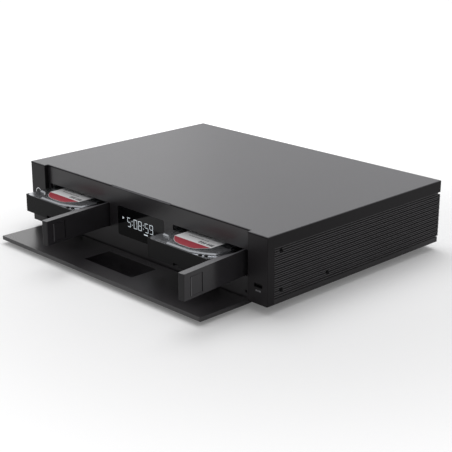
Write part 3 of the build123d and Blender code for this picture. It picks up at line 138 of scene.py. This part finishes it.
# The top's paint is a lighter, glossier copy of the case's black, painted light from above;
# the skirt paint is a darker copy, painted shade on the sides.
LIT_TOP_PAINT = paint("satin_top_painted_light", (0.030, 0.029, 0.035), 0.36, 0.56, 0.10, 0.00012, tint=0.08)
SHADED_SKIRT_PAINT = paint("matt_skirt_painted_shade", (0.009, 0.008, 0.009), 0.45, 0.12, 0.10, 0.00012)
PLATE_PAINT = paint("satin_plate", (0.018, 0.0165, 0.0185), 0.30, 0.6, 0.08)
FLAP_PAINT = paint("satin_flap", (0.020, 0.0185, 0.0205), 0.28, 0.6, 0.08)
COLUMN_PAINT = paint("matt_column", (0.016, 0.0145, 0.016), 0.40, 0.25, 0.10, 0.00012)
DOOR_PAINT = paint("satin_door", (0.026, 0.0245, 0.027), 0.17, 0.35, 0.05)
END_PAINT = paint("dark_door_end", (0.009, 0.0085, 0.0095), 0.34, 0.25, 0.06)
# The latch lip's lighter grey is a painted highlight along the lip's edge.
LIP_HIGHLIGHT_PAINT = paint("latch_lip_painted_highlight", (0.085, 0.083, 0.088), 0.30, 0.4, 0.05)
FIN_PAINT = surface("rib_anodised", (0.036, 0.0345, 0.0365), 0.42, tint=0.12, bump=0.10,
                    stretch=(1, 0.06, 1), spread=0.06, specular=0.2)
# The crests' lighter grey is a painted highlight on the tips of the ribs.
CREST_HIGHLIGHT_PAINT = surface("rib_crest_painted_highlight", (0.075, 0.072, 0.076), 0.36, tint=0.12, bump=0.08,
                      spread=0.06, specular=0.3)
GLASS = surface("smoked_window", (0.003, 0.003, 0.0035), 0.07, grain=300, tint=0.10, bump=0.01,
                spread=0.02, specular=0.2)
FLAP_GLASS = surface("smoked_pane", (0.004, 0.0035, 0.004), 0.16, grain=300, tint=0.10,
                     bump=0.01, spread=0.03, specular=0.45)
STEEL = surface("zinc_steel", (0.50, 0.51, 0.52), 0.38, metal=0.9, grain=700, tint=0.10,
                bump=0.10, stretch=(0.08, 1, 1), spread=0.08)
SHELL = surface("dark_shell", (0.006, 0.006, 0.0065), 0.5, tint=0.10, specular=0.15)
BRIGHT = surface("bright_steel", (0.62, 0.62, 0.63), 0.24, metal=1.0, tint=0.06, bump=0.05)
COVER = surface("drive_cover", (0.31, 0.32, 0.34), 0.22, metal=1.0, grain=1400, tint=0.06,
                bump=0.04, depth=0.00005, stretch=(1, 0.1, 1))
# The cover walls are a darker copy of the cover's metal, painted shade on the sides.
SHADED_COVER_WALL = surface("drive_cover_wall_painted_shade", (0.11, 0.11, 0.115), 0.30, metal=1.0, grain=1400,
                     bump=0.04, depth=0.00005)
CAST = surface("black_casting", (0.004, 0.0038, 0.0042), 0.45, grain=1800, tint=0.2, bump=0.35,
               depth=0.0002, spread=0.08, specular=0.12)
LABEL = surface("label_white", (0.62, 0.62, 0.63), 0.46, grain=1200, tint=0.03, bump=0.03)
RED = surface("label_red", (0.25, 0.008, 0.022), 0.42, grain=1200, tint=0.06, bump=0.03,
              specular=0.3)
PRINT = surface("label_print", (0.055, 0.055, 0.060), 0.5, grain=1200, bump=0.02)
MARK = surface("front_print", (0.20, 0.20, 0.21), 0.5, grain=1200, bump=0.02)
FAINT = surface("label_faint", (0.24, 0.24, 0.25), 0.5, grain=1200, bump=0.02)
BOARD = surface("circuit_green", (0.012, 0.085, 0.040), 0.38, grain=600, tint=0.18)
CHIP = surface("moulded_black", (0.016, 0.016, 0.017), 0.5, grain=1600, tint=0.15, bump=0.25)
GUIDE = surface("guide_plastic", (0.012, 0.012, 0.013), 0.45, grain=1300, tint=0.12, bump=0.15,
                specular=0.3)
ALLOY = surface("sink_alloy", (0.46, 0.47, 0.48), 0.40, metal=0.9, grain=700, bump=0.10,
                stretch=(1, 0.1, 1))
WINDING = surface("winding_tape", (0.62, 0.40, 0.04), 0.5, grain=500, tint=0.10, bump=0.10)
GOLD = surface("gold_plate", (0.78, 0.55, 0.20), 0.22, metal=1.0, tint=0.05, bump=0.04)
RUBBER = surface("foot_rubber", (0.018, 0.018, 0.018), 0.75, grain=700, tint=0.15, bump=0.25,
                 depth=0.0003)
FOOT_FINISH = surface("foot_plastic", (0.014, 0.014, 0.0155), 0.38, grain=1000, tint=0.12,
                      bump=0.12, specular=0.3)
SCREW = surface("black_screw", (0.005, 0.005, 0.0055), 0.40, grain=1200, tint=0.15, bump=0.10,
                specular=0.15)
PHOSPHOR = lit("display_lit", (0.72, 0.79, 0.84), 0.55)
RING_LIGHT = lit("ring_lit", (0.80, 0.83, 0.86), 0.18)
TUBE = surface("tube_glass", (0.008, 0.0085, 0.009), 0.12, grain=300, tint=0.1, bump=0.02)
BUTTON = surface("button_cap", (0.008, 0.008, 0.009), 0.25, grain=700, tint=0.1, bump=0.02,
                 specular=0.3)
SLEEVE = surface("can_sleeve", (0.015, 0.025, 0.060), 0.30, grain=600, tint=0.10, bump=0.04)

FINISHES = {
    LIT_TOP_PAINT: ["top_cover"],
    COLUMN_PAINT: both("front_column") + ["base_pan"],
    PLATE_PAINT: ["front_plate"],
    FLAP_PAINT: ["flap"],
    DOOR_PAINT: both("bay_door") + both("door_latch"),
    FIN_PAINT: both("side_panel"),
    GLASS: ["display_lens"],
    FLAP_GLASS: ["flap_window"],
    PHOSPHOR: ["display_digits"],
    RING_LIGHT: ["button_ring"],
    TUBE: ["display_tube"],
    BUTTON: ["power_button"],
    SHELL: ["usb_front_shell", "usb_front_tongue"],
    STEEL: ["rear_panel", "data_sockets"] + both("drive_cage"),
    BRIGHT: ["door_pins", "inlet_pins"] + both("latch_pin"),
    BOARD: ["display_board", "button_board", "backplane_boards", "main_board", "psu_board"]
    + both("drive_board"),
    CHIP: ["board_chips", "backplane_connectors", "audio_sockets"],
    GUIDE: ["drive_guides", "power_inlet", "rocker_frame", "power_rocker"],
    SLEEVE: ["board_capacitors"],
    ALLOY: ["soc_heatsink", "psu_heatsink"],
    WINDING: ["psu_transformer"],
    GOLD: ["rca_barrels"],
    RUBBER: ["foot_pads"],
    FOOT_FINISH: ["feet"],
    SCREW: ["case_screws", "flap_hinge_brackets", "flap_hinge_pins"] + both("drive_screws"),
    CAST: both("drive_base"),
    COVER: both("drive_cover"),
    LABEL: both("drive_label"),
}
for material, names in FINISHES.items():
    for name in names:
        slots = nodes[name].data.materials
        slots.clear()
        slots.append(material)

# ------------------------------------------------------------------ softened edges
# The widths in millimetres, and the sharpest bend in degrees that stays as it is.
EDGE_WIDTHS = {
    0.15: ["rear_panel"],
    0.25: ["base_pan"] + both("side_panel") + both("drive_cover"),
    0.3: ["front_plate", "power_inlet"] + both("door_latch"),
    0.35: ["top_cover", "flap"] + both("front_column") + both("bay_door") + both("drive_base"),
    0.4: ["feet", "power_rocker"],
}
PART_BEND = 40
TRIM_BEND = 35


def soften(thing, width, bend):
    bevel = thing.modifiers.new("soft_edges", "BEVEL")
    bevel.width = width / MM_PER_METRE
    bevel.segments = 2
    bevel.limit_method = "ANGLE"
    bevel.angle_limit = math.radians(bend)
    return bevel


for width, names in EDGE_WIDTHS.items():
    for name in names:
        soften(nodes[name], width, PART_BEND).harden_normals = True


# ------------------------------------------------------------------ painted light and shade, and finishes, on single faces
def shade_and_finish_faces(name, material, wanted):
    """Gives another finish to the wanted faces of a part; most of these are painted light and
    shade.
    """
    mesh = nodes[name].data
    mesh.materials.append(material)
    for face in mesh.polygons:
        if wanted(face):
            face.material_index = len(mesh.materials) - 1


# The cover's skirts and edges are a duller black than its broad top, a darker copy of the
# same paint that is painted shade, and the columns' sides take it too; the upper edges of the
# doors match the top, whose lighter copy is painted light from above. The rib crests are a
# lighter grey, a painted highlight, and the drive covers' walls a darker copy of the cover,
# painted shade. The lip by which a latch is pulled, in metres from the latch's front, is a
# lighter grey, a painted highlight. The other numbers say how squarely a face looks along an
# axis.
LATCH_LIP = 0.0013
shade_and_finish_faces("top_cover", SHADED_SKIRT_PAINT, lambda face: face.normal.z <= 0.3)
for side in SIDES:
    shade_and_finish_faces(f"front_column_{side}", SHADED_SKIRT_PAINT, lambda face: abs(face.normal.x) > 0.5)
    shade_and_finish_faces(f"side_panel_{side}", CREST_HIGHLIGHT_PAINT, lambda face: abs(face.normal.x) > 0.9)
    for part in ("bay_door", "door_latch"):
        shade_and_finish_faces(f"{part}_{side}", END_PAINT, lambda face: face.normal.y < -0.8)
        shade_and_finish_faces(f"{part}_{side}", LIT_TOP_PAINT, lambda face: face.normal.z > 0.5)
    lip_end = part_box(f"door_latch_{side}")[0][1] + LATCH_LIP
    shade_and_finish_faces(f"door_latch_{side}", LIP_HIGHLIGHT_PAINT, lambda face: face.center.y < lip_end)
    shade_and_finish_faces(f"drive_cover_{side}", SHADED_COVER_WALL, lambda face: abs(face.normal.z) < 0.3)


# ------------------------------------------------------------------ helper shapes
def finish_piece(name, mesh, material, body, bevel):
    thing = bpy.data.objects.new(name, mesh)
    scene.collection.objects.link(thing)
    mesh.materials.append(material)
    if bevel:
        soften(thing, bevel, TRIM_BEND)
    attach(thing, body)


def plates(name, outlines, low, high, material, body, bevel=0.0, place=at):
    """Prisms from outlines in X and Y, joined in one mesh; place() may turn them."""
    mesh = bpy.data.meshes.new(name)
    shape = bmesh.new()
    for outline in outlines:
        under = [shape.verts.new(place(x, y, low)) for x, y in outline]
        over = [shape.verts.new(place(x, y, high)) for x, y in outline]
        shape.faces.new(over)
        shape.faces.new(list(reversed(under)))
        count = len(outline)
        for i in range(count):
            j = (i + 1) % count
            shape.faces.new((under[i], under[j], over[j], over[i]))
    bmesh.ops.recalc_face_normals(shape, faces=shape.faces)
    shape.to_mesh(mesh)
    shape.free()
    finish_piece(name, mesh, material, body, bevel)


def strip(x0, x1, y0, y1):
    return ((x0, y0), (x1, y0), (x1, y1), (x0, y1))


DASH_LENGTHS = (3.2, 5.4, 2.1, 6.3, 4.0, 2.8)
DASH_GAP = 0.9
SHORTEST_DASH = 1


def dashes(x0, x1, y0, y1):
    """A row of small print, as dashes of uneven length."""
    row = []
    while x0 < x1 - SHORTEST_DASH:
        length = min(DASH_LENGTHS[len(row) % len(DASH_LENGTHS)], x1 - x0)
        row.append(strip(x0, x0 + length, y0, y1))
        x0 += length + DASH_GAP
    return row


# ------------------------------------------------------------------ print on the drives
# Outlines on a label are measured from the front left corner of its drive.
BAY_SPACING = 238.4
DRIVE_LEFTS = {"right": 60.2, "left": 60.2 - BAY_SPACING}
DRIVE_FRONT = -35.0
LABEL_FACE = 26.0 + 26.3  # the drive's underside, and its label's height above that
BAND_THICK = 0.05
PRINT_THICK = 0.04
BAND = ((37.6, 8.9), (47, 6.9), (63.9, 6.9), (70.3, 9.5), (80.5, 22), (21.7, 22), (30.7, 12.9))
MARK_WIDTH = 2.6
MARKS = [strip(x, x + MARK_WIDTH, 25.2, 30.6) for x in (56.4, 60.2, 64.0, 69.2, 73.0, 76.2)]
ROWS = ((31.5, 64, 34.2, 36.4), (24, 48, 40.0, 41.0), (24, 60, 43.0, 44.0),
        (24, 52, 46.0, 47.0), (24, 64, 49.0, 50.0), (24, 57, 52.0, 53.0))
WORDS = [dash for row in ROWS for dash in dashes(*row)]
# Every third bar of the code is wider.
CODE_BARS = 34
CODE_STEP = 1.1
CODE_WIDER = 0.25
CODE = [strip(24 + CODE_STEP * i, 24.35 + CODE_STEP * i + CODE_WIDER * (i % 3 == 0), 62, 70)
        for i in range(CODE_BARS)]


def on_label(name, outlines, side, thick, material):
    left = DRIVE_LEFTS[side]
    placed = [[(left + x, DRIVE_FRONT + y) for x, y in outline] for outline in outlines]
    plates(f"{name}_{side}", placed, LABEL_FACE, LABEL_FACE + thick, material,
           f"drive_{side}")


for side in DRIVE_LEFTS:
    on_label("label_band", [BAND], side, BAND_THICK, RED)
    on_label("label_marks", MARKS, side, PRINT_THICK, PRINT)
    on_label("label_rows", WORDS, side, PRINT_THICK, FAINT)
    on_label("label_code", CODE, side, PRINT_THICK, PRINT)

# ------------------------------------------------------------------ small trims
# Blocks that close the corners behind the flap's ends.
stops = [strip(172, 184.4, 3.8, 10.4), strip(-184.4, -172, 3.8, 10.4)]
plates("flap_stops", stops, -4.9, -0.1, COLUMN_PAINT, "chassis", bevel=0.4)

# Dark blocks that close the gaps on either side of each flap hinge: painted shade where the
# floor under the case would show through.
HINGE_XS = (-126, 126)
SHADE_BLOCK_NEAR = 6.25
SHADE_BLOCK_FAR = 9.7
shade_blocks = [strip(x + way * SHADE_BLOCK_NEAR, x + way * SHADE_BLOCK_FAR, 3.75, 11.8)
           for x in HINGE_XS for way in (-1, 1)]
plates("hinge_shade_blocks", shade_blocks, -1.5, 0.1, COLUMN_PAINT, "chassis")


def on_front(x, z, height):
    """A place on the columns' front face, a height proud of it."""
    return at(x, -height, z)


SOCKET_DASHES = ((197.6, 199.6), (200.4, 202.0), (202.8, 205.2))
below_socket = [strip(x0, x1, 14.6, 16.4) for x0, x1 in SOCKET_DASHES]
plates("socket_mark", below_socket, -0.02, 0.06, MARK, "chassis",
       place=on_front)


# ------------------------------------------------------------------ camera
def aim(thing, direction):
    thing.rotation_euler = direction.to_track_quat("-Z", "Y").to_euler()


# In metres; the eye is measured like the sizes above.
EYE = (0.9731, -0.8008, 0.4619)
LOOK = (-0.67885, 0.66193, -0.31782)
camera = bpy.data.objects.new("camera", bpy.data.cameras.new("camera"))
scene.collection.objects.link(camera)
scene.camera = camera
camera.data.sensor_width = 36
camera.data.lens = 88.42
camera.data.clip_end = 50
camera.location = (EYE[0], EYE[1] - SHIFT_Y / MM_PER_METRE, EYE[2] + FOOT / MM_PER_METRE)
aim(camera, Vector(LOOK))


# ------------------------------------------------------------------ floor
def seen_directly(tree):
    """Nodes that tell the camera's own rays, and those through glass, from the others."""
    rays = node(tree, "ShaderNodeLightPath")
    seen = node(tree, "ShaderNodeMath", operation="MAXIMUM")
    tree.links.new(rays.outputs["Is Camera Ray"], seen.inputs[0])
    tree.links.new(rays.outputs["Is Transmission Ray"], seen.inputs[1])
    return rays, seen


FLOOR_SIZE = 12
FLOOR_COLOUR = (0.80, 0.80, 0.805, 1)
mesh = bpy.data.meshes.new("floor")
shape = bmesh.new()
bmesh.ops.create_grid(shape, x_segments=1, y_segments=1, size=FLOOR_SIZE)
shape.to_mesh(mesh)
shape.free()
floor = bpy.data.objects.new("floor", mesh)
scene.collection.objects.link(floor)
floor_look, tree, shader = new_material("floor")
shader.inputs["Base Color"].default_value = FLOOR_COLOUR
shader.inputs["Roughness"].default_value = 0.75
shader.inputs["Specular IOR Level"].default_value = 0.2
shader.inputs["Emission Color"].default_value = (1, 1, 1, 1)
rays, seen = seen_directly(tree)
# Away from a centre near the object, given in metres, the floor runs out into white; it glows
# less towards that centre, which lies to the right where the object's shadow falls, and so
# carries a painted shadow around the object.
place = node(tree, "ShaderNodeTexCoord")
shadow_centre = node(tree, "ShaderNodeMapping", Location=(-0.10, -0.05, 0))
reach = node(tree, "ShaderNodeVectorMath", operation="LENGTH")
tree.links.new(place.outputs["Object"], shadow_centre.inputs["Vector"])
tree.links.new(shadow_centre.outputs["Vector"], reach.inputs[0])
painted_shadow_fade = node(tree, "ShaderNodeMapRange", interpolation_type="SMOOTHSTEP", From_Min=0.22,
            From_Max=0.80, To_Min=0.12, To_Max=0.52)
tree.links.new(reach.outputs["Value"], painted_shadow_fade.inputs["Value"])
amount = node(tree, "ShaderNodeMath", operation="MULTIPLY")
tree.links.new(painted_shadow_fade.outputs["Result"], amount.inputs[1])
tree.links.new(seen.outputs[0], amount.inputs[0])
tree.links.new(amount.outputs[0], shader.inputs["Emission Strength"])
mesh.materials.append(floor_look)

# ------------------------------------------------------------------ light
# The surroundings are white where they are seen or mirrored, and light the part more dimly.
AMBIENT = 0.42
WHITE = 1.0
world = bpy.data.worlds.new("studio")
scene.world = world
world.use_nodes = True
tree = world.node_tree
sky = tree.nodes["Background"]
sky.inputs["Color"].default_value = (1, 1, 1, 1)
rays, seen = seen_directly(tree)
more = node(tree, "ShaderNodeMath", operation="MAXIMUM")
tree.links.new(seen.outputs[0], more.inputs[0])
tree.links.new(rays.outputs["Is Glossy Ray"], more.inputs[1])
level = node(tree, "ShaderNodeMapRange", To_Min=AMBIENT, To_Max=WHITE)
tree.links.new(more.outputs[0], level.inputs["Value"])
tree.links.new(level.outputs["Result"], sky.inputs["Strength"])


def lamp(name, place, target, size, power):
    """A rectangular lamp, with its place, target and size in metres and its power in watts."""
    light = bpy.data.lights.new(name, "AREA")
    light.shape = "RECTANGLE"
    light.size, light.size_y = size
    light.energy = power
    thing = bpy.data.objects.new(name, light)
    scene.collection.objects.link(thing)
    thing.location = place
    aim(thing, Vector(target) - Vector(place))


lamp("overhead", (-0.4, 0.5, 1.9), (0, 0, 0), (1.8, 1.8), 28)
lamp("back_left", (-2.6, 1.5, 1.3), (0, 0, 0.05), (1.4, 1.4), 3.5)

scene.view_settings.view_transform = "Standard"
